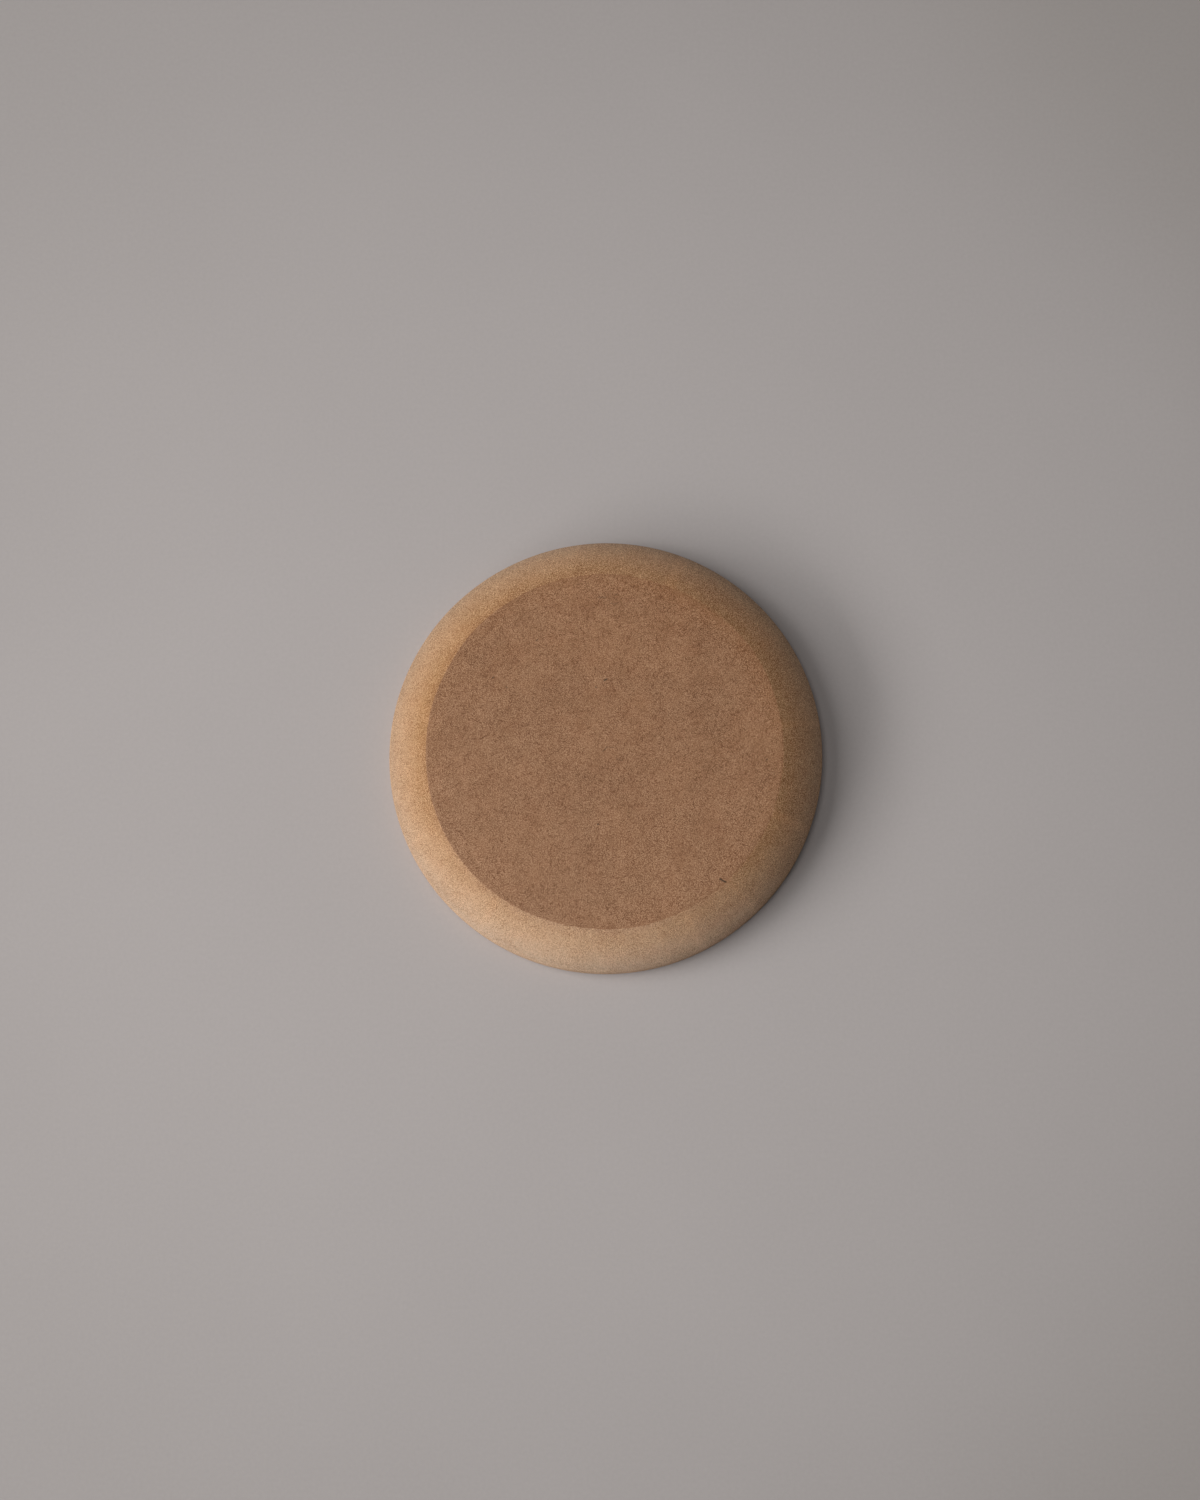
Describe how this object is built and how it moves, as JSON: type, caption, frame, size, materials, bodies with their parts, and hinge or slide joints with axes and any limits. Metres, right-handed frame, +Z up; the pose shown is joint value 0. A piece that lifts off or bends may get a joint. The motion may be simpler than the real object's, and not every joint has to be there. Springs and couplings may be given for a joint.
{
  "type": "pottery mold",
  "caption": "Round drape mold for clay: a thick fibreboard disc with a flat working face, a convex bevel all round, a short vertical wall and a wider flat underside.",
  "frame": {"origin": "centre of the large flat underside, which rests on the bench", "axes": "+Z up through the disc's axis, from the underside to the small flat working face; +X and +Y are radial, and any turn about Z gives the same part"},
  "size_m": [0.127, 0.127, 0.019],
  "materials": {
    "pressed_face": "dense pressed fibreboard skin, brown, fine matted fibres, matte; orange-brown where the bevel cuts through it",
    "machined_core": "machined and hand-sanded fibreboard core, pale tan, fine and slightly fuzzy, very matte",
    "pressed_back": "dense pressed fibreboard skin, brown, fine matted fibres, matte"
  },
  "bodies": {
    "root": {"face_layer": "pressed_face", "core_layer": "machined_core", "back_layer": "pressed_back"}
  },
  "joints": []
}
